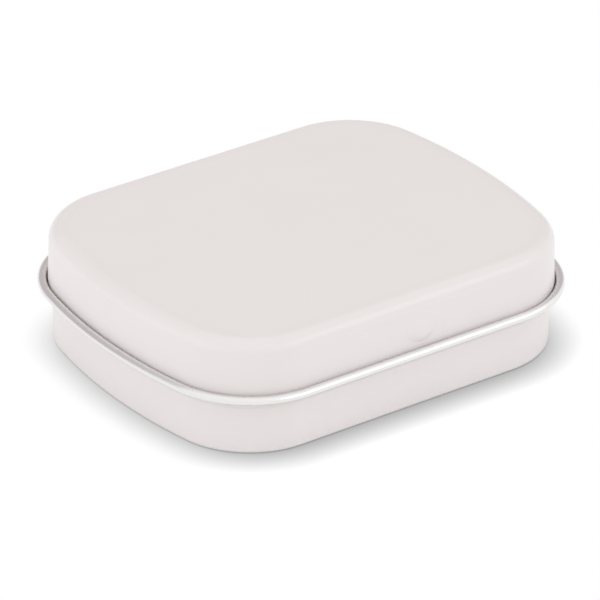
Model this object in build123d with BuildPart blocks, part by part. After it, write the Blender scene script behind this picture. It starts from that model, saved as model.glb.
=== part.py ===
from build123d import *
import os
from math import atan2, cos, degrees, radians, sin, sqrt, tan

# Hinged mint tin. A drawn tray has a rolled rim, a drawn lid drops inside that rim and
# rests on the tray's shoulder, and two lugs rolled from the lid turn on a steel wire
# that lies inside the rim along the back.
# Millimetres. +Z is up, the tin stands on z = 0, X runs along the long sides, the front
# is at -Y and the hinge at +Y. The origin is the middle of the underside.

# Driving sizes: outline of the rim seen from above
tin_length = 60.0
tin_width = 48.8
tin_height = 15.4
corner_radius = 12.9
end_radius = 74.3

# Driving sizes: tinplate and wire
sheet = 0.22
plate_lap = 1.0
wire_diameter = 0.6
wire_clearance = 0.055
wire_end_gap = 1.0

# Driving sizes: tray
rim_height = 8.0
rim_roll_angle = 280.0
land_height = 0.75
wall_inset = 1.84
floor_bend = 0.3
bend_radius = 0.4
ledge_angle = 65.0

# Driving sizes: lid
lid_clearance = 0.1
ledge_gap = 0.15
lid_draft = 2.0
lid_edge_radius = 1.8
bead_diameter = 1.0
bead_roll_angle = 300.0

# Driving sizes: thumb bump on the front of the lid. Its shares are of the wall's open
# band, from the rim's top to the foot of the soft edge.
bump_length = 4.0
bump_stand = 0.32
bump_sink = 0.5
bump_offset = 1.2
bump_foot_radius = 0.4
bump_height_share = 0.52
bump_level_share = 0.39

# Driving sizes: hinge lugs and the windows they turn in
lug_end_run = 3.0
lug_width = 6.0
lug_side_gap = 0.25
lug_relief = 0.4
lug_bend = 0.38
lug_roll_angle = 270.0
lug_overlap = 0.5
window_clearance = 0.2
cut_overrun = 1.0

# Outline, shared by every ring of the tin: only its inset changes. Each corner is struck
# from corner_x and corner_y off the middle, and each bowed end from end_x beyond it.
half_length = tin_length / 2
half_width = tin_width / 2
corner_y = half_width - corner_radius
end_x = end_radius - half_length
corner_x = sqrt((end_radius - corner_radius) ** 2 - corner_y**2) - end_x
end_angle = degrees(atan2(corner_y, corner_x + end_x))

# Rim roll, struck round the hinge wire, which ends short of the rim's back corners
bore_radius = wire_diameter / 2 + wire_clearance
roll_radius = bore_radius + sheet
rim_inset = 2 * roll_radius
hinge_y = half_width - roll_radius
wire_length = 2 * (corner_x - wire_end_gap)

# Tray's shoulder, as insets and heights of the sheet's outer face
land_inset = rim_inset - sheet
land_foot = rim_height - land_height
outer_bend = bend_radius + sheet
ledge_rise = radians(ledge_angle)
shoulder_run = wall_inset - land_inset
ledge_length = (shoulder_run - (bend_radius + outer_bend) * (1 - cos(ledge_rise))) / sin(ledge_rise)
shoulder_drop = (bend_radius + outer_bend) * sin(ledge_rise) + ledge_length * cos(ledge_rise)
wall_top = land_foot - shoulder_drop
floor_inset = wall_inset + floor_bend + sheet

# Lid's rolled edge, which hangs ledge_gap clear of the sloping ledge
lid_inset = rim_inset + lid_clearance
bead_radius = bead_diameter / 2
bead_inset = lid_inset + bead_radius
bead_run = bead_inset - land_inset - outer_bend
bead_reach = bead_radius + ledge_gap - bend_radius
bead_level = land_foot + (bead_reach - bead_run * cos(ledge_rise)) / sin(ledge_rise)
draft = radians(lid_draft)
foot_inset = bead_inset - bead_radius * cos(draft)
foot_level = bead_level + bead_radius * sin(draft)
lid_wall_top = tin_height - lid_edge_radius * (1 - sin(draft))
lid_wall_inset = foot_inset + (lid_wall_top - foot_level) * tan(draft)
lid_wall_run = (lid_wall_top - foot_level) / cos(draft)
panel_inset = lid_wall_inset + lid_edge_radius * cos(draft)

# Thumb bump: a cap of an ellipsoid whose centre is sunk behind the wall's outer face
rim_top = rim_height + roll_radius
wall_band = lid_wall_top - rim_top
bump_height = bump_height_share * wall_band
bump_level = rim_top + bump_level_share * wall_band
bump_inset = foot_inset + (bump_level - foot_level) * tan(draft)
bump_depth = bump_sink + bump_stand
bump_spread = bump_depth / sqrt(bump_depth**2 - bump_sink**2)
bump_radii = (bump_spread * bump_length / 2, bump_depth, bump_spread * bump_height / 2)
hollow_radii = tuple(radius - sheet for radius in bump_radii)

# Lugs, from the lid's wall out under the wire and round it, each lug_end_run from a wire end
neck_level = rim_height - bore_radius
lug_top = neck_level + lug_bend * (1 - sin(draft))
lug_inset = foot_inset + (lug_top - foot_level) * tan(draft)
neck_run = lug_inset - lug_bend * cos(draft) - roll_radius
lug_spacing = wire_length - lug_width - 2 * lug_end_run
lug_places = [-lug_spacing / 2, lug_spacing / 2]
window_sill = neck_level - sheet - window_clearance


def draw_outline(inset):
    """Draw the tin's outline, this far inside the rim's outer edge, from the front's middle."""
    side = half_width - inset
    corner = corner_radius - inset
    end = end_radius - inset
    turn = 90 - end_angle
    Line((0, -side), (corner_x, -side))
    CenterArc((corner_x, -corner_y), corner, -90, turn)
    CenterArc((-end_x, 0), end, -end_angle, 2 * end_angle)
    CenterArc((corner_x, corner_y), corner, end_angle, turn)
    Line((corner_x, side), (-corner_x, side))
    CenterArc((-corner_x, corner_y), corner, 90, turn)
    CenterArc((end_x, 0), end, 180 - end_angle, 2 * end_angle)
    CenterArc((-corner_x, -corner_y), corner, 180 + end_angle, turn)
    Line((-corner_x, -side), (0, -side))


def draw_sheet(start, heading, bends):
    """Draw both faces of a bent strip of tinplate, the left one from start towards heading.

    Each bend is the straight run before it, its turn in degrees, left being positive, and
    its inside radius.
    """
    ends = []
    for depth in (0, sheet):
        spot = Vector(*start) + Vector(*heading).rotate(Axis.Z, -90).normalized() * depth
        way = heading
        ends.append(spot)
        for run, turn, radius in bends:
            flat = PolarLine(spot, run, direction=way)
            bend = JernArc(flat @ 1, flat % 1, radius + (depth if turn > 0 else sheet - depth), turn)
            spot = bend @ 1
            way = bend % 1
        ends.append(spot)
    Line(ends[0], ends[2])
    Line(ends[1], ends[3])


def front(inset, height):
    """Place a point of a section that is drawn across the front, in Plane.YZ."""
    return (inset - half_width, height)


def back(inset, height):
    """Place a point of a section that is drawn across the back, in Plane.YZ."""
    return (half_width - inset, height)


# Tray: one section of the sheet, from the floor up to the rolled rim, swept round
with BuildPart() as base_tray:
    with BuildLine() as tray_path:
        draw_outline(0)
    with BuildSketch(Plane.YZ):
        with BuildLine():
            draw_sheet(
                start=front(floor_inset + plate_lap, 0),
                heading=(-1, 0),
                bends=[
                    (plate_lap, -90, floor_bend),
                    (wall_top - floor_bend - sheet, ledge_angle, bend_radius),
                    (ledge_length, -ledge_angle, bend_radius),
                    (land_height, rim_roll_angle, bore_radius),
                ],
            )
        make_face()
    sweep(path=tray_path.wires()[0])
    with BuildSketch():
        with BuildLine():
            draw_outline(floor_inset)
        make_face()
    extrude(amount=sheet)
    # Windows through the rim and the land, where the lid's lugs turn on the wire
    with BuildSketch(Plane.XY.offset(window_sill)):
        with Locations(*[(x, half_width - rim_inset / 2) for x in lug_places]):
            Rectangle(lug_width + 2 * lug_side_gap, rim_inset + 2 * cut_overrun)
    extrude(amount=rim_height + rim_inset - window_sill, mode=Mode.SUBTRACT)

base_tray.part.label = "base_tray"

# Thumb bump: its pressed-out cap, and the hollow pressed in behind it
with BuildPart() as bump_cap:
    Sphere(1)
    scale(by=bump_radii)
    split(bisect_by=Plane.XZ.offset(bump_sink - sheet / 2))

with BuildPart() as bump_hollow:
    Sphere(1)
    scale(by=hollow_radii)

# Lid: the panel, its soft edge, the drafted wall and the bead rolled inwards at its foot
with BuildPart() as lid:
    with BuildLine() as lid_path:
        draw_outline(0)
    with BuildSketch(Plane.YZ):
        with BuildLine():
            draw_sheet(
                start=front(panel_inset + plate_lap, tin_height - sheet),
                heading=(-1, 0),
                bends=[
                    (plate_lap, 90 - lid_draft, lid_edge_radius - sheet),
                    (lid_wall_run, bead_roll_angle, bead_radius - sheet),
                ],
            )
        make_face()
    sweep(path=lid_path.wires()[0])
    with BuildSketch(Plane.XY.offset(tin_height - sheet)):
        with BuildLine():
            draw_outline(panel_inset)
        make_face()
    extrude(amount=sheet)
    with Locations((bump_offset, bump_inset + bump_sink - half_width, bump_level)):
        add(bump_cap.part)
        fillet(edges(Select.LAST).group_by(Axis.Y)[0], radius=bump_foot_radius)
        add(bump_hollow.part, mode=Mode.SUBTRACT)
    # Reliefs cut in the bead beside the lugs
    with BuildSketch(Plane.XY.offset(lug_top)):
        with Locations(*[(x, half_width - bead_inset) for x in lug_places]):
            Rectangle(lug_width + 2 * lug_relief, bead_diameter + 2 * cut_overrun)
    extrude(amount=-bead_diameter - cut_overrun, mode=Mode.SUBTRACT)
    # Lugs: the wall's sheet led out below the wire and rolled round it
    for x in lug_places:
        with BuildSketch(Plane.YZ.offset(x)):
            with BuildLine():
                draw_sheet(
                    start=back(lug_inset + lug_overlap * sin(draft), lug_top + lug_overlap * cos(draft)),
                    heading=(sin(draft), -cos(draft)),
                    bends=[
                        (lug_overlap, 90 - lid_draft, lug_bend),
                        (neck_run, lug_roll_angle, bore_radius),
                    ],
                )
            make_face()
        extrude(amount=lug_width / 2, both=True)

lid.part.label = "lid"

# Hinge wire: straight, trapped where the rim turns its corners
with BuildPart() as hinge_wire:
    with BuildSketch(Plane.YZ):
        with Locations((hinge_y, rim_height)):
            Circle(wire_diameter / 2)
    extrude(amount=wire_length / 2, both=True)

hinge_wire.part.label = "hinge_wire"

os.makedirs("parts", exist_ok=True)
export_step(base_tray.part, "parts/base_tray.step")
export_step(lid.part, "parts/lid.step")
export_step(hinge_wire.part, "parts/hinge_wire.step")
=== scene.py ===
from math import atan2, ceil, cos, pi, radians, sin, sqrt, tan
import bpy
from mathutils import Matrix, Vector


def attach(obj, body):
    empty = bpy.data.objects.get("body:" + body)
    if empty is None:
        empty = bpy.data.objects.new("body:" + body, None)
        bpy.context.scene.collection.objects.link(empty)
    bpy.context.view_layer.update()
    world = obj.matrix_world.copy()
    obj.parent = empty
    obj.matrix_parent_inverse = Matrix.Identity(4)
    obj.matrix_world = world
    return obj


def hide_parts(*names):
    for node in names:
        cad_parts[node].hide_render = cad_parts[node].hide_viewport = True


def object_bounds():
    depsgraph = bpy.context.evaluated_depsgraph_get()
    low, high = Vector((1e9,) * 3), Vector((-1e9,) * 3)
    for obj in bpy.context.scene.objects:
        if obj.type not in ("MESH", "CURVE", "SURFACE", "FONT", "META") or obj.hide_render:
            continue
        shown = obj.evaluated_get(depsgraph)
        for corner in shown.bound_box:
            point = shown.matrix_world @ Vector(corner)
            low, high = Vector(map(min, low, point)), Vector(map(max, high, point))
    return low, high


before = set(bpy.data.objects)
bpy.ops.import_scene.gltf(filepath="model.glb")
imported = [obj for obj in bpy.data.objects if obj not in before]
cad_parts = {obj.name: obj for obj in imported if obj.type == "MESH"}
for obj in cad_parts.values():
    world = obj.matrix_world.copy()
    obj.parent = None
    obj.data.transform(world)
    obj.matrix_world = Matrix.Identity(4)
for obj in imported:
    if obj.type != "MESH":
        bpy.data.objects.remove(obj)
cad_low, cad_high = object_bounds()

from types import SimpleNamespace

import bpy
from bpy.props import FloatProperty, FloatVectorProperty, PointerProperty
from bpy.types import Operator, Panel, PropertyGroup
from mathutils import Matrix, Vector

bl_info = {
    "name": "Hinged Mint Tin",
    "version": (1, 0, 0),
    "blender": (4, 5, 0),
    "location": "View3D > Sidebar > Mint Tin",
    "description": "Builds a small hinged tin from pressed sheet round its measured frame",
    "category": "Add Mesh",
}

MM = 0.001

# Fineness of the pressings: the most that one facet turns, the longest facet over the bump,
# and how many facets the plain parts of the walls have
ROLL_STEP = radians(8)
EDGE_STEP = radians(4.5)
CORNER_STEP = radians(2.5)
BUMP_FACET = 0.12 * MM
TRAY_WALL_FACETS = 4
LID_FOOT_FACETS = 2

# Points nearer than this are one point, and an edge that turns more than this stays sharp
WELD = 0.0005 * MM
SHARP_TURN = radians(45)

# Share of a step that a run may be too long by, from rounding, without getting a facet more
STEP_SLACK = 1e-6

# Spacing of the patterns in the finishes, in millimetres
PEEL_SPACING = 0.55
COAT_SPACING = 9.0
GRAIN_SPACING = 0.3
CURL_LINE_SPACING = 0.16
CURL_DRIFT_SPACING = 6.0
FLECK_SPACING = 0.45
TEAR_SPACING = 0.12
DRAWN_LINE_SPACING = 0.08

# How much the patterns are drawn out along the tin: the rolling grain, and the wire's lines
ROLLED_OUT = (0.04, 1.0, 1.0)
DRAWN_OUT = (0.02, 1.0, 1.0)

# Range of roughness over the enamel and over the tinplate
ENAMEL_GLOSS = {"To Min": 0.28, "To Max": 0.32}
TINPLATE_GLOSS = {"To Min": 0.24, "To Max": 0.34}


def linear_colour(hex_code):
    """Turn an sRGB hex colour into the linear red, green, blue and alpha that nodes take."""
    channels = [int(hex_code[i : i + 2], 16) / 255 for i in (1, 3, 5)]
    return tuple(c / 12.92 if c <= 0.04045 else ((c + 0.055) / 1.055) ** 2.4 for c in channels) + (1.0,)


def size_setting(name, description, millimetres):
    """Declare a length, with its default in millimetres."""
    return FloatProperty(
        name=name, description=description, default=millimetres * MM, unit="LENGTH", precision=5
    )


def measured_setting(name, description, metres):
    """Declare a length that the frame gives, in metres."""
    return FloatProperty(name=name, description=description, default=metres, unit="LENGTH")


def angle_setting(name, description, turn):
    """Declare an angle, with its default in degrees."""
    return FloatProperty(name=name, description=description, default=radians(turn), unit="ROTATION")


def share_setting(name, description, share):
    """Declare a share of another size."""
    return FloatProperty(name=name, description=description, default=share, min=0, max=1)


def light_setting(name, description, brightness):
    """Declare a light's brightness, 1 being white."""
    return FloatProperty(name=name, description=description, default=brightness, min=0)


def colour_setting(name, description, hex_code):
    """Declare a colour, with its default as an sRGB hex code."""
    return FloatVectorProperty(
        name=name, description=description, default=linear_colour(hex_code), size=4, subtype="COLOR"
    )


class TinSizes(PropertyGroup):
    """Sizes of the tray and the lid."""

    length: measured_setting("Length", "Length over the rolled rim", cad_high.x - cad_low.x)
    width: measured_setting("Width", "Width over the rolled rim", cad_high.y - cad_low.y)
    height: measured_setting("Height", "Height of the closed tin", cad_high.z - cad_low.z)
    corner_radius: size_setting("Corner radius", "Radius of the rim's corners seen from above", 12.9)
    end_radius: size_setting("End radius", "Radius of the two bowed ends seen from above", 74.3)
    sheet: size_setting("Sheet", "Thickness of the tinplate", 0.22)
    plate_lap: size_setting("Plate lap", "Flat margin drawn with each edge bend", 1.0)
    rim_height: size_setting("Rim height", "Height of the rim roll's centre", 8.0)
    rim_roll: angle_setting("Rim roll", "Turn of the rolled rim", 280)
    land_height: size_setting("Land", "Upright band under the rolled rim", 0.75)
    wall_inset: size_setting("Tray inset", "How far the tray's wall stands inside the rim", 1.84)
    floor_bend: size_setting("Floor bend", "Inside radius between floor and wall", 0.3)
    bend_radius: size_setting("Shoulder bend", "Inside radius of the shoulder's two bends", 0.4)
    ledge_angle: angle_setting("Ledge", "Slope of the shoulder from upright", 65)
    lid_clearance: size_setting("Lid clearance", "Gap between the lid's wall and the rim", 0.1)
    ledge_gap: size_setting("Ledge gap", "Gap between the lid's edge and the shoulder", 0.15)
    lid_draft: angle_setting("Draft", "Taper of the lid's wall", 2)
    lid_edge: size_setting("Lid edge", "Radius of the lid's soft edge", 1.8)
    bead: size_setting("Bead", "Diameter of the lid's rolled edge", 1.0)
    bead_roll: angle_setting("Bead roll", "Turn of the lid's rolled edge", 300)


class BumpSizes(PropertyGroup):
    """Sizes of the thumb bump; its shares are of the wall from the rim's top to the soft edge."""

    length: size_setting("Length", "Length along the wall", 4.0)
    height_share: share_setting("Height share", "Height up the wall", 0.52)
    level_share: share_setting("Level share", "Place of the bump's middle up the wall", 0.39)
    stand: size_setting("Stand", "How far the bump stands out", 0.32)
    sink: size_setting("Sink", "Depth of the cap's centre behind the wall", 0.5)
    offset: size_setting("Offset", "Place along the wall, from the middle", 1.2)
    blend: size_setting("Blend", "Softness of the bump's foot", 0.25)


class HingeSizes(PropertyGroup):
    """Sizes of the lid's lugs, the tray's windows and the wire that they turn on."""

    wire: size_setting("Wire", "Diameter of the hinge wire", 0.6)
    wire_clearance: size_setting("Wire clearance", "Gap round the wire inside a roll", 0.055)
    wire_end_gap: size_setting("Wire end gap", "From a wire's end to the rim's corner", 1.0)
    lug_end_run: size_setting("Lug end run", "From a lug's outer side to the wire's end", 3.0)
    lug_width: size_setting("Lug width", "Width of a lug", 6.0)
    side_gap: size_setting("Side gap", "Gap beside a lug in its window", 0.25)
    relief: size_setting("Relief", "Width cut from the bead beside a lug", 0.4)
    bend: size_setting("Lug bend", "Inside radius where a lug leaves the wall", 0.38)
    roll: angle_setting("Lug roll", "Turn of a lug round the wire", 270)


class TinFinishes(PropertyGroup):
    """Colours of the tin's finishes."""

    enamel: colour_setting("Enamel", "White stoved enamel", "#E4DFDA")
    tinplate: colour_setting("Tinplate", "Bare bright tinplate", "#EFEEEC")
    sheared_edge: colour_setting("Sheared edge", "Cut edge of the sheet", "#A9A7A5")
    wire: colour_setting("Wire", "Drawn steel wire", "#B4B3B1")


class StudioSettings(PropertyGroup):
    """Camera and lights."""

    azimuth: angle_setting("Azimuth", "Camera's turn round the tin", -35.984)
    elevation: angle_setting("Elevation", "Camera's height above the horizon", 28.575)
    roll: angle_setting("Roll", "Camera's turn about its own line of sight", 0.471)
    distance: size_setting("Distance", "Camera's distance from its target", 669.8)
    sky: light_setting("Sky", "Light from all round", 0.92)
    key: light_setting("Key", "Brightness of the front softbox", 1.3)
    fill: light_setting("Fill", "Light from the front that gloss doesn't mirror", 0.82)
    side: light_setting("Side", "Light from the left that gloss doesn't mirror", 1.1)


# Where the camera aims, on the tin's front left, and the lens that frames it
CAMERA_TARGET = Vector((-7.455, -10.046, 11.658)) * MM
CAMERA_LENS = 331.2
CAMERA_NEAR = 10 * MM
SENSOR_WIDTH = 36.0


def tin_measures(scene):
    """Work out what the pieces share, in metres: insets run inwards from the rim's outer edge."""
    tin, hinge, bump = scene.tin_sizes, scene.tin_hinge, scene.tin_bump
    m = SimpleNamespace(tin=tin, hinge=hinge, bump=bump, sheet=tin.sheet)
    m.half_length = tin.length / 2
    m.half_width = tin.width / 2
    m.corner_y = m.half_width - tin.corner_radius
    m.end_x = tin.end_radius - m.half_length
    m.corner_x = sqrt((tin.end_radius - tin.corner_radius) ** 2 - m.corner_y**2) - m.end_x
    m.end_angle = atan2(m.corner_y, m.corner_x + m.end_x)

    m.bore_radius = hinge.wire / 2 + hinge.wire_clearance
    m.roll_radius = m.bore_radius + m.sheet
    m.rim_inset = 2 * m.roll_radius

    m.land_inset = m.rim_inset - m.sheet
    m.land_foot = tin.rim_height - tin.land_height
    m.outer_bend = tin.bend_radius + m.sheet
    run = tin.wall_inset - m.land_inset
    bends = tin.bend_radius + m.outer_bend
    m.ledge_length = (run - bends * (1 - cos(tin.ledge_angle))) / sin(tin.ledge_angle)
    m.wall_top = m.land_foot - bends * sin(tin.ledge_angle) - m.ledge_length * cos(tin.ledge_angle)
    m.floor_inset = tin.wall_inset + tin.floor_bend + m.sheet

    m.bead_radius = tin.bead / 2
    m.bead_inset = m.rim_inset + tin.lid_clearance + m.bead_radius
    reach = m.bead_radius + tin.ledge_gap - tin.bend_radius
    slope = (m.bead_inset - m.land_inset - m.outer_bend) * cos(tin.ledge_angle)
    m.bead_level = m.land_foot + (reach - slope) / sin(tin.ledge_angle)
    m.foot_inset = m.bead_inset - m.bead_radius * cos(tin.lid_draft)
    m.foot_level = m.bead_level + m.bead_radius * sin(tin.lid_draft)
    m.wall_head = tin.height - tin.lid_edge * (1 - sin(tin.lid_draft))
    m.head_inset = m.foot_inset + (m.wall_head - m.foot_level) * tan(tin.lid_draft)
    m.panel_inset = m.head_inset + tin.lid_edge * cos(tin.lid_draft)

    wire_length = 2 * (m.corner_x - hinge.wire_end_gap)
    m.lug_spacing = wire_length - hinge.lug_width - 2 * hinge.lug_end_run
    m.neck_level = tin.rim_height - m.bore_radius
    m.lug_top = m.neck_level + hinge.bend * (1 - sin(tin.lid_draft))
    m.lug_inset = m.foot_inset + (m.lug_top - m.foot_level) * tan(tin.lid_draft)
    m.neck_run = m.lug_inset - hinge.bend * cos(tin.lid_draft) - m.roll_radius

    rim_top = tin.rim_height + m.roll_radius
    wall_band = m.wall_head - rim_top
    m.bump_level = rim_top + bump.level_share * wall_band
    m.bump_inset = m.foot_inset + (m.bump_level - m.foot_level) * tan(tin.lid_draft)
    depth = bump.sink + bump.stand
    spread = depth / sqrt(depth**2 - bump.sink**2)
    m.bump_radii = (spread * bump.length / 2, depth, spread * bump.height_share * wall_band / 2)
    return m


def spaced(start, end, step):
    """List evenly spaced values from start up to but without end, no further apart than step."""
    count = max(1, ceil(abs(end - start) / step - STEP_SLACK))
    return [start + (end - start) * i / count for i in range(count)]


def arc_points(centre, radius, start, turn, step):
    """List the points of an arc seen from above, without its last one."""
    return [
        Vector((centre[0] + radius * cos(a), centre[1] + radius * sin(a), 0))
        for a in spaced(start, start + turn, step)
    ]


def draw_outline(m, front_stops, back_stops):
    """List the points of the rim's outline from the front's middle, anticlockwise from above."""
    corner, end = m.tin.corner_radius, m.tin.end_radius
    x, y, bow = m.corner_x, m.corner_y, m.end_angle
    turn = pi / 2 - bow
    end_step = CORNER_STEP * sqrt(corner / end)
    front = [Vector((stop, -m.half_width, 0)) for stop in sorted(front_stops)]
    back = [Vector((stop, m.half_width, 0)) for stop in sorted(back_stops, reverse=True)]
    return (
        front
        + arc_points((x, -y), corner, -pi / 2, turn, CORNER_STEP)
        + arc_points((-m.end_x, 0), end, -bow, 2 * bow, end_step)
        + arc_points((x, y), corner, bow, turn, CORNER_STEP)
        + [Vector((x, m.half_width, 0))]
        + back
        + arc_points((-x, y), corner, pi / 2, turn, CORNER_STEP)
        + arc_points((m.end_x, 0), end, pi - bow, 2 * bow, end_step)
        + arc_points((-x, -y), corner, pi + bow, turn, CORNER_STEP)
        + [Vector((-x, -m.half_width, 0))]
    )


def draw_section(start, heading, bends):
    """List the points of the sheet's enamel face across the wall, as (inset, height).

    Each bend is the straight run before it and the facets that this run is cut into, then
    its turn, left being positive, its radius and the most that one facet turns.
    """
    spot, way = Vector(start), Vector(heading).normalized()
    points = [spot.copy()]
    for run, pieces, turn, radius, step in bends:
        for _ in range(pieces):
            spot = spot + way * (run / pieces)
            points.append(spot.copy())
        if turn:
            side = Vector((-way.y, way.x)) * (1 if turn > 0 else -1)
            centre = spot + side * radius
            arm = spot - centre
            for angle in spaced(0, turn, step)[1:] + [turn]:
                points.append(centre + Matrix.Rotation(angle, 2) @ arm)
            spot = points[-1].copy()
            way = Matrix.Rotation(turn, 2) @ way
    return points


def tray_section(m):
    """Draw the tray's section from the floor's margin out and up to the end of the rolled rim."""
    tin = m.tin
    rise = tin.ledge_angle
    return draw_section(
        start=(m.floor_inset + tin.plate_lap, 0),
        heading=(-1, 0),
        bends=[
            (tin.plate_lap, 1, -pi / 2, tin.floor_bend + m.sheet, ROLL_STEP),
            (m.wall_top - tin.floor_bend - m.sheet, TRAY_WALL_FACETS, rise, tin.bend_radius, ROLL_STEP),
            (m.ledge_length, 1, -rise, m.outer_bend, ROLL_STEP),
            (tin.land_height, 1, tin.rim_roll, m.bore_radius, ROLL_STEP),
        ],
    )


def lid_section(m):
    """Draw the lid's section from the panel's margin out, down the wall and round the bead."""
    tin = m.tin
    upper = (m.wall_head - m.lug_top) / cos(tin.lid_draft)
    lower = (m.lug_top - m.foot_level) / cos(tin.lid_draft)
    return draw_section(
        start=(m.panel_inset + tin.plate_lap, tin.height),
        heading=(-1, 0),
        bends=[
            (tin.plate_lap, 1, pi / 2 - tin.lid_draft, tin.lid_edge, EDGE_STEP),
            (upper, ceil(upper / BUMP_FACET), 0, 0, ROLL_STEP),
            (lower, LID_FOOT_FACETS, tin.bead_roll, m.bead_radius, ROLL_STEP),
        ],
    )


def lug_section(m):
    """Draw a lug's section from the cut foot of the wall, out under the wire and round it."""
    draft = m.tin.lid_draft
    return draw_section(
        start=(m.lug_inset, m.lug_top),
        heading=(-sin(draft), -cos(draft)),
        bends=[
            (0, 0, draft - pi / 2, m.hinge.bend, ROLL_STEP),
            (m.neck_run, 1, -m.hinge.roll, m.bore_radius, ROLL_STEP),
        ],
    )


def curve_object(name, points, closed=False):
    """Make a helper curve of straight pieces through these points."""
    data = bpy.data.curves.new(name, "CURVE")
    data.dimensions = "3D"
    spline = data.splines.new("POLY")
    spline.points.add(len(points) - 1)
    for point, place in zip(spline.points, points):
        point.co = (*place.to_3d(), 1)
    spline.use_cyclic_u = closed
    helper = bpy.data.objects.new(name, data)
    bpy.context.scene.collection.objects.link(helper)
    return helper


def add_node(tree, kind, settings=None, inputs=None):
    """Add a node with its settings, its inputs filled from values, sockets or nodes' first outputs."""
    node = tree.nodes.new(kind)
    for name, value in (settings or {}).items():
        setattr(node, name, value)
    for key, value in (inputs or {}).items():
        if isinstance(value, bpy.types.Node):
            value = value.outputs[0]
        if isinstance(value, bpy.types.NodeSocket):
            tree.links.new(value, node.inputs[key])
        else:
            node.inputs[key].default_value = value
    return node


def start_tree(name, sockets):
    """Start a geometry tree with these named inputs, and return it with its input node."""
    tree = bpy.data.node_groups.new(name, "GeometryNodeTree")
    tree.interface.new_socket("Geometry", in_out="INPUT", socket_type="NodeSocketGeometry")
    tree.interface.new_socket("Geometry", in_out="OUTPUT", socket_type="NodeSocketGeometry")
    for label, kind in sockets:
        tree.interface.new_socket(label, in_out="INPUT", socket_type=f"NodeSocket{kind}")
    return tree, tree.nodes.new("NodeGroupInput").outputs


def joined(tree, *parts):
    """Join geometry in a tree and weld the points that meet."""
    join = tree.nodes.new("GeometryNodeJoinGeometry")
    for part in reversed(parts):
        tree.links.new(part.outputs[0], join.inputs[0])
    return add_node(tree, "GeometryNodeMergeByDistance", inputs={"Geometry": join, "Distance": WELD})


def swept(tree, path, section_object):
    """Carry a section of the sheet along a path, and keep the distance along it as girth."""
    info = add_node(
        tree, "GeometryNodeObjectInfo", {"transform_space": "ORIGINAL"}, {"Object": section_object}
    )
    along = add_node(tree, "GeometryNodeSplineParameter")
    marked = add_node(
        tree,
        "GeometryNodeStoreNamedAttribute",
        {"data_type": "FLOAT", "domain": "POINT"},
        {"Geometry": info.outputs["Geometry"], "Name": "girth", "Value": along.outputs["Length"]},
    )
    turned = add_node(tree, "GeometryNodeTransform", inputs={"Geometry": marked, "Rotation": (0, 0, pi)})
    upright = add_node(tree, "GeometryNodeSetCurveNormal", {"mode": "Z_UP"}, {"Curve": path})
    return add_node(tree, "GeometryNodeCurveToMesh", inputs={"Curve": upright, "Profile Curve": turned})


def all_hold(tree, tests):
    """Multiply tests, each an operation with its operands, into one selection.

    A comparison's last operand is how far apart its two others may be.
    """
    selection = 1.0
    for operation, *operands in tests:
        test = add_node(tree, "ShaderNodeMath", {"operation": operation}, dict(enumerate(operands)))
        selection = add_node(tree, "ShaderNodeMath", {"operation": "MULTIPLY"}, {0: selection, 1: test})
    return selection


def panelled(tree, skin, level, flipped):
    """Close the swept skin with its flat panel at this level."""
    place = add_node(tree, "GeometryNodeInputPosition")
    parts = add_node(tree, "ShaderNodeSeparateXYZ", inputs={0: place})
    faces = add_node(tree, "GeometryNodeInputMeshEdgeNeighbors")
    rim = all_hold(tree, [("COMPARE", faces, 1.0, 0.1), ("COMPARE", parts.outputs["Z"], level, WELD)])
    ring = add_node(tree, "GeometryNodeMeshToCurve", inputs={"Mesh": skin, "Selection": rim})
    panel = add_node(tree, "GeometryNodeFillCurve", {"mode": "NGONS"}, {"Curve": ring})
    lift = add_node(tree, "ShaderNodeCombineXYZ", inputs={"Z": level})
    panel = add_node(tree, "GeometryNodeTransform", inputs={"Geometry": panel, "Translation": lift})
    if flipped:
        panel = add_node(tree, "GeometryNodeFlipFaces", inputs={"Mesh": panel})
    return joined(tree, skin, panel)


def opened(tree, skin, spacing, width, low, high):
    """Cut two openings in the back of the skin, centred this far apart, between two levels."""
    place = add_node(tree, "GeometryNodeInputPosition")
    parts = add_node(tree, "ShaderNodeSeparateXYZ", inputs={0: place})
    side = add_node(tree, "ShaderNodeMath", {"operation": "ABSOLUTE"}, {0: parts.outputs["X"]})
    centre = add_node(tree, "ShaderNodeMath", {"operation": "MULTIPLY"}, {0: spacing, 1: 0.5})
    half = add_node(tree, "ShaderNodeMath", {"operation": "MULTIPLY"}, {0: width, 1: 0.5})
    cut = all_hold(
        tree,
        [
            ("COMPARE", side, centre, half),
            ("GREATER_THAN", parts.outputs["Y"], 0.0),
            ("GREATER_THAN", parts.outputs["Z"], low),
            ("LESS_THAN", parts.outputs["Z"], high),
        ],
    )
    return add_node(
        tree,
        "GeometryNodeDeleteGeometry",
        {"domain": "FACE", "mode": "ALL"},
        {"Geometry": skin, "Selection": cut},
    )


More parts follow.
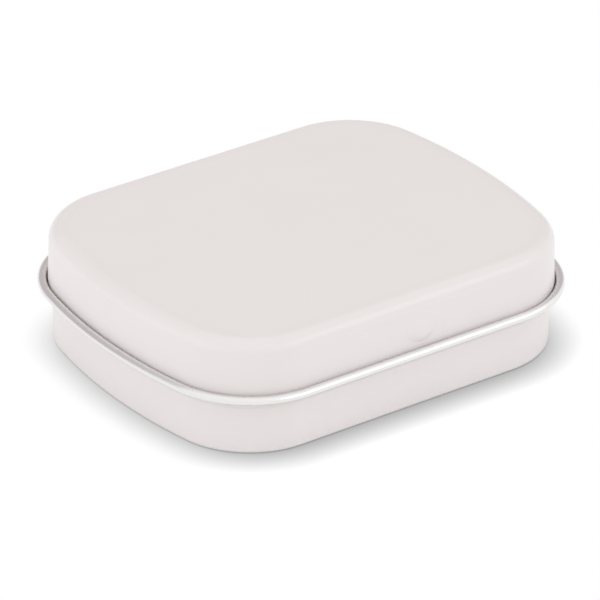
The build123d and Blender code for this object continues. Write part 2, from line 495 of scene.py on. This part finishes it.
def thickened(tree, skin, sheet, enamel, tinplate, sheared):
    """Give the enamel skin the sheet's thickness behind it, and each face its finish."""
    kept = add_node(tree, "GeometryNodeCaptureAttribute", {"domain": "POINT"})
    kept.capture_items.new("VECTOR", "Normal")
    tree.links.new(skin.outputs[0], kept.inputs["Geometry"])
    tree.links.new(add_node(tree, "GeometryNodeInputNormal").outputs[0], kept.inputs["Normal"])
    pulled = add_node(
        tree,
        "GeometryNodeExtrudeMesh",
        {"mode": "FACES"},
        {"Mesh": kept, "Offset Scale": 0.0, "Individual": False},
    )
    behind = add_node(tree, "ShaderNodeMath", {"operation": "MULTIPLY"}, {0: sheet, 1: -1.0})
    inwards = add_node(
        tree,
        "ShaderNodeVectorMath",
        {"operation": "SCALE"},
        {0: kept.outputs["Normal"], "Scale": behind},
    )
    inner, edge = pulled.outputs["Top"], pulled.outputs["Side"]
    backing = add_node(
        tree,
        "GeometryNodeSetPosition",
        inputs={"Geometry": pulled, "Selection": inner, "Offset": inwards},
    )
    turned = add_node(tree, "GeometryNodeFlipFaces", inputs={"Mesh": backing})
    whole = joined(tree, kept, turned)
    angle = add_node(tree, "GeometryNodeInputMeshEdgeAngle")
    sharp = add_node(tree, "ShaderNodeMath", {"operation": "GREATER_THAN"}, {0: angle, 1: SHARP_TURN})
    smooth = add_node(
        tree, "GeometryNodeSetShadeSmooth", {"domain": "FACE"}, {"Geometry": whole, "Shade Smooth": True}
    )
    crisp = add_node(
        tree,
        "GeometryNodeSetShadeSmooth",
        {"domain": "EDGE"},
        {"Geometry": smooth, "Selection": sharp, "Shade Smooth": False},
    )
    result = add_node(tree, "GeometryNodeRealizeInstances", inputs={"Geometry": crisp})
    for faces, material in ((True, enamel), (inner, tinplate), (edge, sheared)):
        result = add_node(
            tree,
            "GeometryNodeSetMaterial",
            inputs={"Geometry": result, "Selection": faces, "Material": material},
        )
    add_node(tree, "NodeGroupOutput", inputs={0: result})


def tray_tree():
    """Build the tree that presses the tray: sweep, floor, two windows in the rim, thickness."""
    tree, given = start_tree(
        "Pressed tray",
        [
            ("Section", "Object"),
            ("Sheet", "Float"),
            ("Window Spacing", "Float"),
            ("Window Width", "Float"),
            ("Window Sill", "Float"),
            ("Window Head", "Float"),
            ("Enamel", "Material"),
            ("Tinplate", "Material"),
            ("Sheared Edge", "Material"),
        ],
    )
    skin = swept(tree, given["Geometry"], given["Section"])
    skin = panelled(tree, skin, 0.0, flipped=True)
    skin = opened(
        tree,
        skin,
        given["Window Spacing"],
        given["Window Width"],
        given["Window Sill"],
        given["Window Head"],
    )
    thickened(tree, skin, given["Sheet"], given["Enamel"], given["Tinplate"], given["Sheared Edge"])
    return tree


def bumped(tree, skin, centre, radii, sink, blend):
    """Press a cap of an ellipsoid out of the front of the skin."""
    place = add_node(tree, "GeometryNodeInputPosition")
    away = add_node(tree, "ShaderNodeVectorMath", {"operation": "SUBTRACT"}, {0: place, 1: centre})
    share = add_node(tree, "ShaderNodeVectorMath", {"operation": "DIVIDE"}, {0: away, 1: radii})
    flat = add_node(
        tree, "ShaderNodeVectorMath", {"operation": "MULTIPLY"}, {0: share, 1: (1.0, 0.0, 1.0)}
    )
    square = add_node(tree, "ShaderNodeVectorMath", {"operation": "DOT_PRODUCT"}, {0: flat, 1: flat})
    depth = add_node(tree, "ShaderNodeSeparateXYZ", inputs={0: radii})
    stand = square.outputs["Value"]
    for operation, operands in (
        ("SUBTRACT", lambda value: {0: 1.0, 1: value}),
        ("MAXIMUM", lambda value: {0: value, 1: 0.0}),
        ("SQRT", lambda value: {0: value}),
        ("MULTIPLY", lambda value: {0: value, 1: depth.outputs["Y"]}),
        ("SUBTRACT", lambda value: {0: value, 1: sink}),
        ("SMOOTH_MAX", lambda value: {0: value, 1: 0.0, 2: blend}),
        ("MULTIPLY", lambda value: {0: value, 1: -1.0}),
    ):
        stand = add_node(tree, "ShaderNodeMath", {"operation": operation}, operands(stand))
    outwards = add_node(tree, "ShaderNodeCombineXYZ", inputs={"Y": stand})
    parts = add_node(tree, "ShaderNodeSeparateXYZ", inputs={0: place})
    front = add_node(
        tree, "ShaderNodeMath", {"operation": "LESS_THAN"}, {0: parts.outputs["Y"], 1: 0.0}
    )
    return add_node(
        tree,
        "GeometryNodeSetPosition",
        inputs={"Geometry": skin, "Selection": front, "Offset": outwards},
    )


def lugs(tree, section_object, spacing, width, back):
    """Roll one lug from its section, and place it at both ends of the hinge."""
    line = {}
    for end, share in (("Start", 0.5), ("End", -0.5)):
        reach = add_node(tree, "ShaderNodeMath", {"operation": "MULTIPLY"}, {0: width, 1: share})
        line[end] = add_node(tree, "ShaderNodeCombineXYZ", inputs={"X": reach, "Y": back})
    across = add_node(tree, "GeometryNodeCurvePrimitiveLine", inputs=line)
    lug = swept(tree, across.outputs[0], section_object)
    left = add_node(tree, "ShaderNodeMath", {"operation": "MULTIPLY"}, {0: spacing, 1: -0.5})
    places = add_node(
        tree,
        "GeometryNodeMeshLine",
        {"mode": "OFFSET"},
        {
            "Count": 2,
            "Start Location": add_node(tree, "ShaderNodeCombineXYZ", inputs={"X": left}),
            "Offset": add_node(tree, "ShaderNodeCombineXYZ", inputs={"X": spacing}),
        },
    )
    pair = add_node(tree, "GeometryNodeInstanceOnPoints", inputs={"Points": places, "Instance": lug})
    return add_node(tree, "GeometryNodeRealizeInstances", inputs={"Geometry": pair})


def lid_tree():
    """Build the tree that presses the lid: sweep, panel, bead reliefs, bump, lugs, thickness."""
    tree, given = start_tree(
        "Pressed lid",
        [
            ("Section", "Object"),
            ("Lug Section", "Object"),
            ("Sheet", "Float"),
            ("Panel Level", "Float"),
            ("Lug Spacing", "Float"),
            ("Lug Width", "Float"),
            ("Lug Back", "Float"),
            ("Relief Width", "Float"),
            ("Relief Head", "Float"),
            ("Bump Centre", "Vector"),
            ("Bump Radii", "Vector"),
            ("Bump Sink", "Float"),
            ("Bump Blend", "Float"),
            ("Enamel", "Material"),
            ("Tinplate", "Material"),
            ("Sheared Edge", "Material"),
        ],
    )
    skin = swept(tree, given["Geometry"], given["Section"])
    skin = panelled(tree, skin, given["Panel Level"], flipped=False)
    skin = opened(tree, skin, given["Lug Spacing"], given["Relief Width"], 0.0, given["Relief Head"])
    skin = bumped(
        tree, skin, given["Bump Centre"], given["Bump Radii"], given["Bump Sink"], given["Bump Blend"]
    )
    pair = lugs(tree, given["Lug Section"], given["Lug Spacing"], given["Lug Width"], given["Lug Back"])
    skin = joined(tree, skin, pair)
    thickened(tree, skin, given["Sheet"], given["Enamel"], given["Tinplate"], given["Sheared Edge"])
    return tree


def pressed_piece(name, outline, tree, values, helpers):
    """Run a tree on the outline, keep the plain mesh it makes, and clear the helpers away."""
    blank = curve_object(f"{name}_outline", outline, closed=True)
    modifier = blank.modifiers.new("Pressing", "NODES")
    modifier.node_group = tree
    for socket in tree.interface.items_tree:
        if socket.name in values:
            modifier[socket.identifier] = values[socket.name]
    graph = bpy.context.evaluated_depsgraph_get()
    mesh = bpy.data.meshes.new_from_object(blank.evaluated_get(graph), depsgraph=graph)
    if not mesh.materials[0]:
        mesh.materials.pop(index=0)
    blank.modifiers.clear()
    for helper in [blank, *helpers]:
        bpy.data.objects.remove(helper)
    mesh.name = name
    piece = bpy.data.objects.new(name, mesh)
    bpy.context.scene.collection.objects.link(piece)
    return piece


def new_material(name):
    """Start a material with an empty tree, and return it with its tree."""
    material = bpy.data.materials.new(name)
    material.use_nodes = True
    material.node_tree.nodes.clear()
    return material, material.node_tree


def waves_per_metre(millimetres):
    """Turn a pattern's spacing in millimetres into a texture scale for metres."""
    return 1 / (millimetres * MM)


def shades(colour, amount):
    """Give a Mix node's two colours, this share darker and lighter than a colour."""
    dark = tuple(c * (1 - amount) for c in colour[:3]) + (1.0,)
    light = tuple(min(1.0, c * (1 + amount)) for c in colour[:3]) + (1.0,)
    return {"A": dark, "B": light}


def enamelled_tinplate(colour):
    """White enamel, roller-coated on the flat sheet and stoved before it is pressed.

    It gives an even warm white with a soft, blurred gloss and a faint orange peel.
    """
    material, tree = new_material("stoved_white_enamel")
    place = add_node(tree, "ShaderNodeTexCoord").outputs["Object"]
    peel = add_node(
        tree,
        "ShaderNodeTexNoise",
        inputs={"Vector": place, "Scale": waves_per_metre(PEEL_SPACING), "Detail": 2.0},
    )
    relief = add_node(
        tree, "ShaderNodeBump", inputs={"Strength": 0.35, "Distance": 0.0012 * MM, "Height": peel}
    )
    coat = add_node(
        tree,
        "ShaderNodeTexNoise",
        inputs={"Vector": place, "Scale": waves_per_metre(COAT_SPACING), "Detail": 3.0},
    )
    tint = add_node(
        tree, "ShaderNodeMix", {"data_type": "RGBA"}, {"Factor": coat, **shades(colour, 0.012)}
    )
    gloss = add_node(tree, "ShaderNodeMapRange", inputs={"Value": coat, **ENAMEL_GLOSS})
    shader = add_node(
        tree,
        "ShaderNodeBsdfPrincipled",
        inputs={
            "Base Color": tint.outputs["Result"],
            "Roughness": gloss,
            "IOR": 1.62,
            "Normal": relief,
        },
    )
    add_node(tree, "ShaderNodeOutputMaterial", inputs={"Surface": shader})
    return material


def bright_tinplate(colour):
    """Bright tinplate, cold-rolled and flow-melted, then curled at the rim by a roller.

    It gives a blurred silver mirror with rolling grain along the tin, and fine lines that
    follow the curl. Both are drawn coarser than the real hundredth of a millimetre, to show.
    """
    material, tree = new_material("bright_tinplate")
    place = add_node(tree, "ShaderNodeTexCoord").outputs["Object"]
    rolled = add_node(
        tree, "ShaderNodeVectorMath", {"operation": "MULTIPLY"}, {0: place, 1: ROLLED_OUT}
    )
    grain = add_node(
        tree,
        "ShaderNodeTexNoise",
        inputs={"Vector": rolled, "Scale": waves_per_metre(GRAIN_SPACING), "Detail": 3.0},
    )
    girth = add_node(tree, "ShaderNodeAttribute", {"attribute_name": "girth"})
    drift = waves_per_metre(CURL_DRIFT_SPACING)
    round_curl = add_node(
        tree,
        "ShaderNodeMath",
        {"operation": "MULTIPLY"},
        {0: girth.outputs["Fac"], 1: waves_per_metre(CURL_LINE_SPACING) / drift},
    )
    curl_lines = add_node(
        tree,
        "ShaderNodeTexNoise",
        {"noise_dimensions": "4D"},
        {"Vector": place, "W": round_curl, "Scale": drift, "Detail": 2.0},
    )
    fleck = add_node(
        tree,
        "ShaderNodeTexNoise",
        inputs={"Vector": place, "Scale": waves_per_metre(FLECK_SPACING), "Detail": 4.0},
    )
    height = add_node(tree, "ShaderNodeMath", {"operation": "ADD"}, {0: grain, 1: curl_lines})
    relief = add_node(
        tree, "ShaderNodeBump", inputs={"Strength": 0.4, "Distance": 0.001 * MM, "Height": height}
    )
    tint = add_node(
        tree, "ShaderNodeMix", {"data_type": "RGBA"}, {"Factor": fleck, **shades(colour, 0.03)}
    )
    gloss = add_node(tree, "ShaderNodeMapRange", inputs={"Value": fleck, **TINPLATE_GLOSS})
    shader = add_node(
        tree,
        "ShaderNodeBsdfPrincipled",
        inputs={
            "Base Color": tint.outputs["Result"],
            "Metallic": 1.0,
            "Roughness": gloss,
            "Normal": relief,
        },
    )
    add_node(tree, "ShaderNodeOutputMaterial", inputs={"Surface": shader})
    return material


def sheared_steel(colour):
    """The sheet's cut edge, sheared steel between two films of tin: a dull, torn grey."""
    material, tree = new_material("sheared_sheet_edge")
    place = add_node(tree, "ShaderNodeTexCoord").outputs["Object"]
    tears = add_node(
        tree,
        "ShaderNodeTexNoise",
        inputs={"Vector": place, "Scale": waves_per_metre(TEAR_SPACING), "Detail": 3.0},
    )
    relief = add_node(
        tree, "ShaderNodeBump", inputs={"Strength": 0.5, "Distance": 0.01 * MM, "Height": tears}
    )
    tint = add_node(
        tree, "ShaderNodeMix", {"data_type": "RGBA"}, {"Factor": tears, **shades(colour, 0.15)}
    )
    shader = add_node(
        tree,
        "ShaderNodeBsdfPrincipled",
        inputs={
            "Base Color": tint.outputs["Result"],
            "Metallic": 1.0,
            "Roughness": 0.5,
            "Normal": relief,
        },
    )
    add_node(tree, "ShaderNodeOutputMaterial", inputs={"Surface": shader})
    return material


def drawn_steel_wire(colour):
    """Soft steel wire pulled through a die, which leaves fine bright lines along it."""
    material, tree = new_material("drawn_steel_wire")
    place = add_node(tree, "ShaderNodeTexCoord").outputs["Object"]
    along = add_node(
        tree, "ShaderNodeVectorMath", {"operation": "MULTIPLY"}, {0: place, 1: DRAWN_OUT}
    )
    lines = add_node(
        tree,
        "ShaderNodeTexNoise",
        inputs={"Vector": along, "Scale": waves_per_metre(DRAWN_LINE_SPACING), "Detail": 2.0},
    )
    relief = add_node(
        tree, "ShaderNodeBump", inputs={"Strength": 0.5, "Distance": 0.004 * MM, "Height": lines}
    )
    tint = add_node(
        tree, "ShaderNodeMix", {"data_type": "RGBA"}, {"Factor": lines, **shades(colour, 0.1)}
    )
    shader = add_node(
        tree,
        "ShaderNodeBsdfPrincipled",
        inputs={
            "Base Color": tint.outputs["Result"],
            "Metallic": 1.0,
            "Roughness": 0.32,
            "Normal": relief,
        },
    )
    add_node(tree, "ShaderNodeOutputMaterial", inputs={"Surface": shader})
    return material


def sheet_finishes(scene):
    """Fetch the finishes of both pressings, made once and then shared."""
    colours = scene.tin_finishes
    makers = {
        "Enamel": ("stoved_white_enamel", enamelled_tinplate, colours.enamel),
        "Tinplate": ("bright_tinplate", bright_tinplate, colours.tinplate),
        "Sheared Edge": ("sheared_sheet_edge", sheared_steel, colours.sheared_edge),
    }
    return {
        socket: bpy.data.materials.get(name) or make(tuple(colour))
        for socket, (name, make, colour) in makers.items()
    }


def hinge_stops(m, gap):
    """List where openings this much wider than the lugs start and end along the back."""
    half = m.hinge.lug_width / 2 + gap
    return [side * m.lug_spacing / 2 + end * half for side in (-1, 1) for end in (-1, 1)]


class MINTTIN_OT_tray(Operator):
    """Press the tray: floor, wall, shoulder and rolled rim, with two windows for the lugs"""

    bl_idname = "mint_tin.tray"
    bl_label = "Press Tray"

    def execute(self, context):
        m = tin_measures(context.scene)
        section = curve_object("tray_section", tray_section(m)[::-1])
        outline = draw_outline(m, [0], hinge_stops(m, m.hinge.side_gap))
        values = {
            "Section": section,
            "Sheet": m.sheet,
            "Window Spacing": m.lug_spacing,
            "Window Width": m.hinge.lug_width + 2 * m.hinge.side_gap,
            "Window Sill": m.land_foot,
            "Window Head": m.tin.height,
            **sheet_finishes(context.scene),
        }
        tray = pressed_piece("tray_pressing", outline, tray_tree(), values, [section])
        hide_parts("base_tray")
        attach(tray, "tray")
        return {"FINISHED"}


class MINTTIN_OT_lid(Operator):
    """Press the lid: panel, soft edge, wall, bead, thumb bump and two rolled lugs"""

    bl_idname = "mint_tin.lid"
    bl_label = "Press Lid"

    def execute(self, context):
        m = tin_measures(context.scene)
        section = curve_object("lid_section", lid_section(m))
        lug = curve_object("lug_section", lug_section(m))
        reach = m.bump_radii[0] + m.bump.blend
        bump_start, bump_end = m.bump.offset - reach, m.bump.offset + reach
        front = spaced(bump_start, bump_end, BUMP_FACET) + [bump_end]
        back = hinge_stops(m, 0) + hinge_stops(m, m.hinge.relief)
        outline = draw_outline(m, front, back)
        values = {
            "Section": section,
            "Lug Section": lug,
            "Sheet": m.sheet,
            "Panel Level": m.tin.height,
            "Lug Spacing": m.lug_spacing,
            "Lug Width": m.hinge.lug_width,
            "Lug Back": m.half_width,
            "Relief Width": m.hinge.lug_width + 2 * m.hinge.relief,
            "Relief Head": m.lug_top,
            "Bump Centre": (m.bump.offset, m.bump_inset - m.half_width, m.bump_level),
            "Bump Radii": m.bump_radii,
            "Bump Sink": m.bump.sink,
            "Bump Blend": m.bump.blend,
            **sheet_finishes(context.scene),
        }
        lid = pressed_piece("lid_pressing", outline, lid_tree(), values, [section, lug])
        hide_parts("lid")
        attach(lid, "lid")
        return {"FINISHED"}


class MINTTIN_OT_wire(Operator):
    """Give the hinge wire its drawn finish"""

    bl_idname = "mint_tin.wire"
    bl_label = "Finish Hinge Wire"

    def execute(self, context):
        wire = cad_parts["hinge_wire"]
        wire.data.materials.clear()
        wire.data.materials.append(drawn_steel_wire(tuple(context.scene.tin_finishes.wire)))
        return {"FINISHED"}


def camera_axes(studio):
    """Work out the camera's right, up and back directions from its angles."""
    a, e = studio.azimuth, studio.elevation
    back = Vector((sin(a) * cos(e), -cos(a) * cos(e), sin(e)))
    right = Vector((cos(a), sin(a), 0))
    turn = Matrix.Rotation(studio.roll, 3, back)
    return turn @ right, turn @ back.cross(right), back


def place_camera(scene):
    """Place the camera where the photograph was taken from."""
    studio = scene.tin_studio
    right, up, back = camera_axes(studio)
    data = bpy.data.cameras.new("camera")
    data.sensor_width = SENSOR_WIDTH
    data.lens = CAMERA_LENS
    data.clip_start = CAMERA_NEAR
    camera = bpy.data.objects.new("camera", data)
    turn = Matrix((right, up, back)).transposed().to_4x4()
    camera.matrix_world = Matrix.Translation(CAMERA_TARGET + back * studio.distance) @ turn
    scene.collection.objects.link(camera)
    scene.camera = camera


def flat_sheet(name, centre, facing, width, height):
    """Make a flat rectangle that faces along a direction."""
    mesh = bpy.data.meshes.new(name)
    corners = [(-width / 2, -height / 2, 0), (width / 2, -height / 2, 0)]
    corners += [(width / 2, height / 2, 0), (-width / 2, height / 2, 0)]
    turn = Vector(facing).to_track_quat("Z", "Y")
    mesh.from_pydata([turn @ Vector(c) + Vector(centre) for c in corners], [], [(0, 1, 2, 3)])
    sheet = bpy.data.objects.new(name, mesh)
    bpy.context.scene.collection.objects.link(sheet)
    return sheet


# Studio: a softbox in front, plain fill light from the front and from the left, and a grey
# board behind that only gloss sees
FRONT_PLACE = Vector((0.62, -1.0, 0.65))
FRONT_SIZE = (1.3, 0.5)
SIDE_PLACE = Vector((-1.2, 0.3, 0.4))
SIDE_SIZE = (1.4, 0.8)
SOFTBOX_TINT = "#E9E0FF"
BOARD_PLACE = Vector((0.2, 1.0, 0.68))
BOARD_SIZE = (4.4, 1.4)
BOARD_GREY = "#C8C2C4"
BACKDROP_WHITE = "#FFFFFF"
PAPER_WHITE = "#F4F4F4"
# The floor lies a hair below the tin, and off to one side, so that no edge of it shows nearby
FLOOR_SIZE = 8.0
FLOOR_PLACE = Vector((2.0, 0.0, -0.02 * MM))
# Painted shadow on the floor: how far its occlusion reaches, the tilt that leans it out towards the
# front, its darkest level and its samples
PAINTED_SHADOW_REACH = 4.5 * MM
PAINTED_SHADOW_LEAN = (0.05, 0.6, 1.0)
PAINTED_SHADOW_FLOOR = 0.25
PAINTED_SHADOW_SAMPLES = 16


def seen_directly(tree):
    """Say whether a ray comes from the camera, or from a mirror or glass that shows the stage."""
    path = add_node(tree, "ShaderNodeLightPath")
    seen = path.outputs["Is Camera Ray"]
    for ray in ("Is Glossy Ray", "Is Transmission Ray"):
        rays = {0: seen, 1: path.outputs[ray]}
        seen = add_node(tree, "ShaderNodeMath", {"operation": "MAXIMUM"}, rays)
    return seen


def floor_material():
    """White paper, white wherever it is seen but for a painted soft shadow where the tin stands:
    occlusion darkens its glow, not the lamps.
    """
    material, tree = new_material("white_paper_floor")
    lean = add_node(tree, "ShaderNodeCombineXYZ", inputs=dict(enumerate(PAINTED_SHADOW_LEAN)))
    leant = add_node(tree, "ShaderNodeVectorMath", {"operation": "NORMALIZE"}, {0: lean})
    shadow = add_node(
        tree,
        "ShaderNodeAmbientOcclusion",
        {"samples": PAINTED_SHADOW_SAMPLES},
        {"Distance": PAINTED_SHADOW_REACH, "Normal": leant},
    )
    # Painted shadow: the occlusion, kept above its darkest level, sets how brightly the floor glows
    painted_shadow_level = add_node(
        tree,
        "ShaderNodeMapRange",
        inputs={"Value": shadow.outputs["AO"], "To Min": PAINTED_SHADOW_FLOOR, "To Max": 1.0},
    )
    white = add_node(tree, "ShaderNodeEmission", inputs={"Strength": painted_shadow_level})
    paper = add_node(tree, "ShaderNodeBsdfDiffuse", inputs={"Color": linear_colour(PAPER_WHITE)})
    mix = add_node(tree, "ShaderNodeMixShader", inputs={0: seen_directly(tree), 1: paper, 2: white})
    add_node(tree, "ShaderNodeOutputMaterial", inputs={"Surface": mix})
    return material


def board_material():
    """Grey board, whose reflection gives bare metal its darker side."""
    material, tree = new_material("grey_studio_board")
    glow = {"Color": linear_colour(BOARD_GREY), "Strength": 1.0}
    grey = add_node(tree, "ShaderNodeEmission", inputs=glow)
    add_node(tree, "ShaderNodeOutputMaterial", inputs={"Surface": grey})
    return material


def light_world(scene):
    """Light the tin evenly from all round, with white wherever the world itself is seen."""
    world = bpy.data.worlds.new("studio")
    world.use_nodes = True
    tree = world.node_tree
    tree.nodes.clear()
    white = linear_colour(BACKDROP_WHITE)
    glow = {"Color": white, "Strength": scene.tin_studio.sky}
    sky = add_node(tree, "ShaderNodeBackground", inputs=glow)
    backdrop = add_node(tree, "ShaderNodeBackground", inputs={"Color": white, "Strength": 1.0})
    mix = add_node(tree, "ShaderNodeMixShader", inputs={0: seen_directly(tree), 1: sky, 2: backdrop})
    add_node(tree, "ShaderNodeOutputWorld", inputs={"Surface": mix})
    scene.world = world


def hang_softbox(name, place, size, brightness, mirrored):
    """Hang a softbox that faces the tin, seen in its gloss or not.

    Its brightness is its surface's, 1 being white.
    """
    light = bpy.data.lights.new(name, "AREA")
    light.shape = "RECTANGLE"
    light.size, light.size_y = size
    light.energy = brightness * pi * light.size * light.size_y
    light.color = linear_colour(SOFTBOX_TINT)[:3]
    softbox = bpy.data.objects.new(name, light)
    turn = place.to_track_quat("Z", "Y").to_matrix().to_4x4()
    softbox.matrix_world = Matrix.Translation(place) @ turn
    softbox.visible_camera = False
    softbox.visible_glossy = mirrored
    bpy.context.scene.collection.objects.link(softbox)


class MINTTIN_OT_studio(Operator):
    """Set up the floor, the lights, the backdrop and the camera"""

    bl_idname = "mint_tin.studio"
    bl_label = "Set Up Studio"

    def execute(self, context):
        scene = context.scene
        floor = flat_sheet("floor", FLOOR_PLACE, (0, 0, 1), FLOOR_SIZE, FLOOR_SIZE)
        floor.data.materials.append(floor_material())
        board = flat_sheet("grey_board", BOARD_PLACE, -BOARD_PLACE, *BOARD_SIZE)
        board.data.materials.append(board_material())
        board.visible_camera = board.visible_diffuse = board.visible_shadow = False

        studio = scene.tin_studio
        hang_softbox("front_softbox", FRONT_PLACE, FRONT_SIZE, studio.key, mirrored=True)
        hang_softbox("front_fill", FRONT_PLACE, FRONT_SIZE, studio.fill, mirrored=False)
        hang_softbox("left_fill", SIDE_PLACE, SIDE_SIZE, studio.side, mirrored=False)
        light_world(scene)
        place_camera(scene)
        scene.view_settings.view_transform = "Standard"
        return {"FINISHED"}


class MINTTIN_PT_sidebar(Panel):
    """List the tin's sizes, colours and steps."""

    bl_label = "Mint Tin"
    bl_idname = "MINTTIN_PT_sidebar"
    bl_space_type = "VIEW_3D"
    bl_region_type = "UI"
    bl_category = "Mint Tin"

    def draw(self, context):
        for settings in SETTINGS:
            group = getattr(context.scene, settings)
            box = self.layout.box()
            for name in group.__annotations__:
                box.prop(group, name)
        for operator in OPERATORS:
            self.layout.operator(operator.bl_idname)


SETTINGS = {
    "tin_sizes": TinSizes,
    "tin_bump": BumpSizes,
    "tin_hinge": HingeSizes,
    "tin_finishes": TinFinishes,
    "tin_studio": StudioSettings,
}
OPERATORS = (MINTTIN_OT_tray, MINTTIN_OT_lid, MINTTIN_OT_wire, MINTTIN_OT_studio)
CLASSES = (*SETTINGS.values(), *OPERATORS, MINTTIN_PT_sidebar)


def register():
    """Register the classes and give the scene its settings."""
    for cls in CLASSES:
        bpy.utils.register_class(cls)
    for name, group in SETTINGS.items():
        setattr(bpy.types.Scene, name, PointerProperty(type=group))


def unregister():
    """Take the settings off the scene and unregister the classes."""
    for name in SETTINGS:
        delattr(bpy.types.Scene, name)
    for cls in reversed(CLASSES):
        bpy.utils.unregister_class(cls)


def main():
    """Build every piece and the stage."""
    register()
    bpy.ops.mint_tin.tray()
    bpy.ops.mint_tin.lid()
    bpy.ops.mint_tin.wire()
    bpy.ops.mint_tin.studio()


if __name__ == "__main__":
    main()
